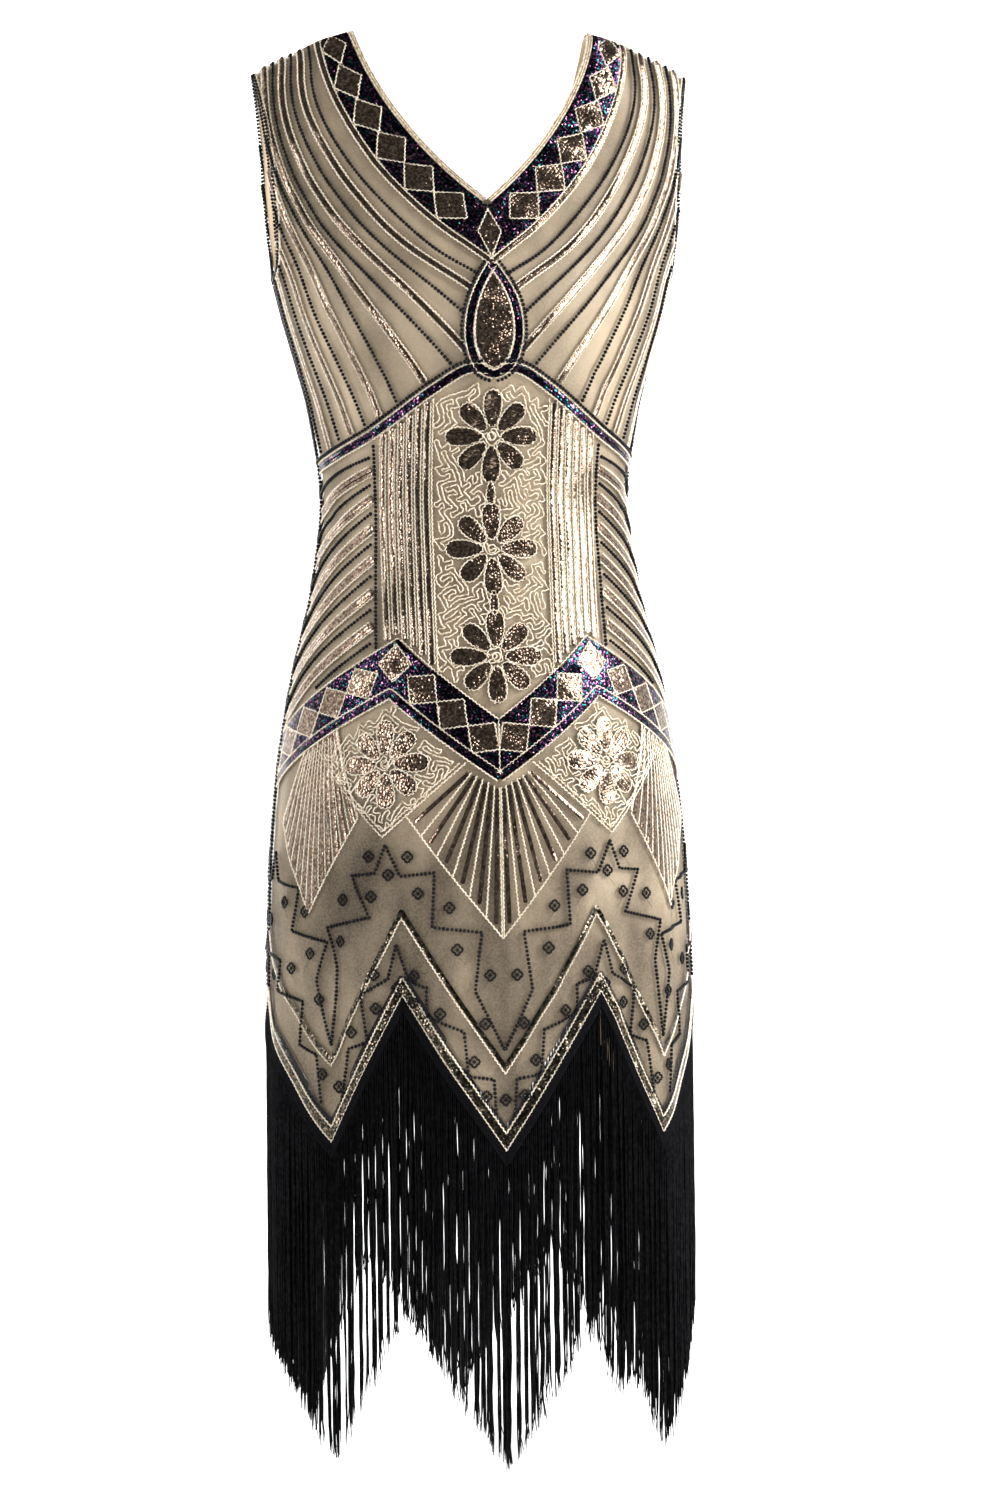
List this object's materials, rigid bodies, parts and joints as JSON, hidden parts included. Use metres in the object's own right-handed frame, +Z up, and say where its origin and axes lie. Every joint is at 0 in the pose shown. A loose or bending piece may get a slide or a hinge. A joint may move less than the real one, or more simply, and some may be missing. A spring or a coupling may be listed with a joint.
{
  "type": "flapper dress",
  "caption": "Worn sleeveless flapper dress with V necks, beaded sheer overlay over a lining, pointed hem and long fringe; hollow, open at neck, armholes and hem.",
  "frame": {"origin": "midway between the two shoulder seams, level with their neck ends, where the wearer's shoulders hold the dress", "axes": "+Z up, -Y out of the front of the dress, +X towards the wearer's left"},
  "size_m": [0.3506, 0.284, 1.1212],
  "materials": {
    "overlay": "sheer dark net",
    "lining": "smooth beige lining cloth",
    "braid": "gold thread braid",
    "sequins": "bronze and black cup sequins",
    "beads": "black glossy beads",
    "fringe": "black twisted fringe yarn"
  },
  "bodies": {
    "root": {"front_bodice": "overlay", "front_skirt": "overlay", "back_bodice": "overlay", "back_skirt": "overlay", "front_lining": "lining", "back_lining": "lining", "front_neck_binding": "braid", "back_neck_binding": "braid", "left_armhole_binding": "beads", "right_armhole_binding": "beads", "front_hem_border": "sequins", "back_hem_border": "sequins", "front_fringe": "fringe", "back_fringe": "fringe"}
  },
  "joints": []
}
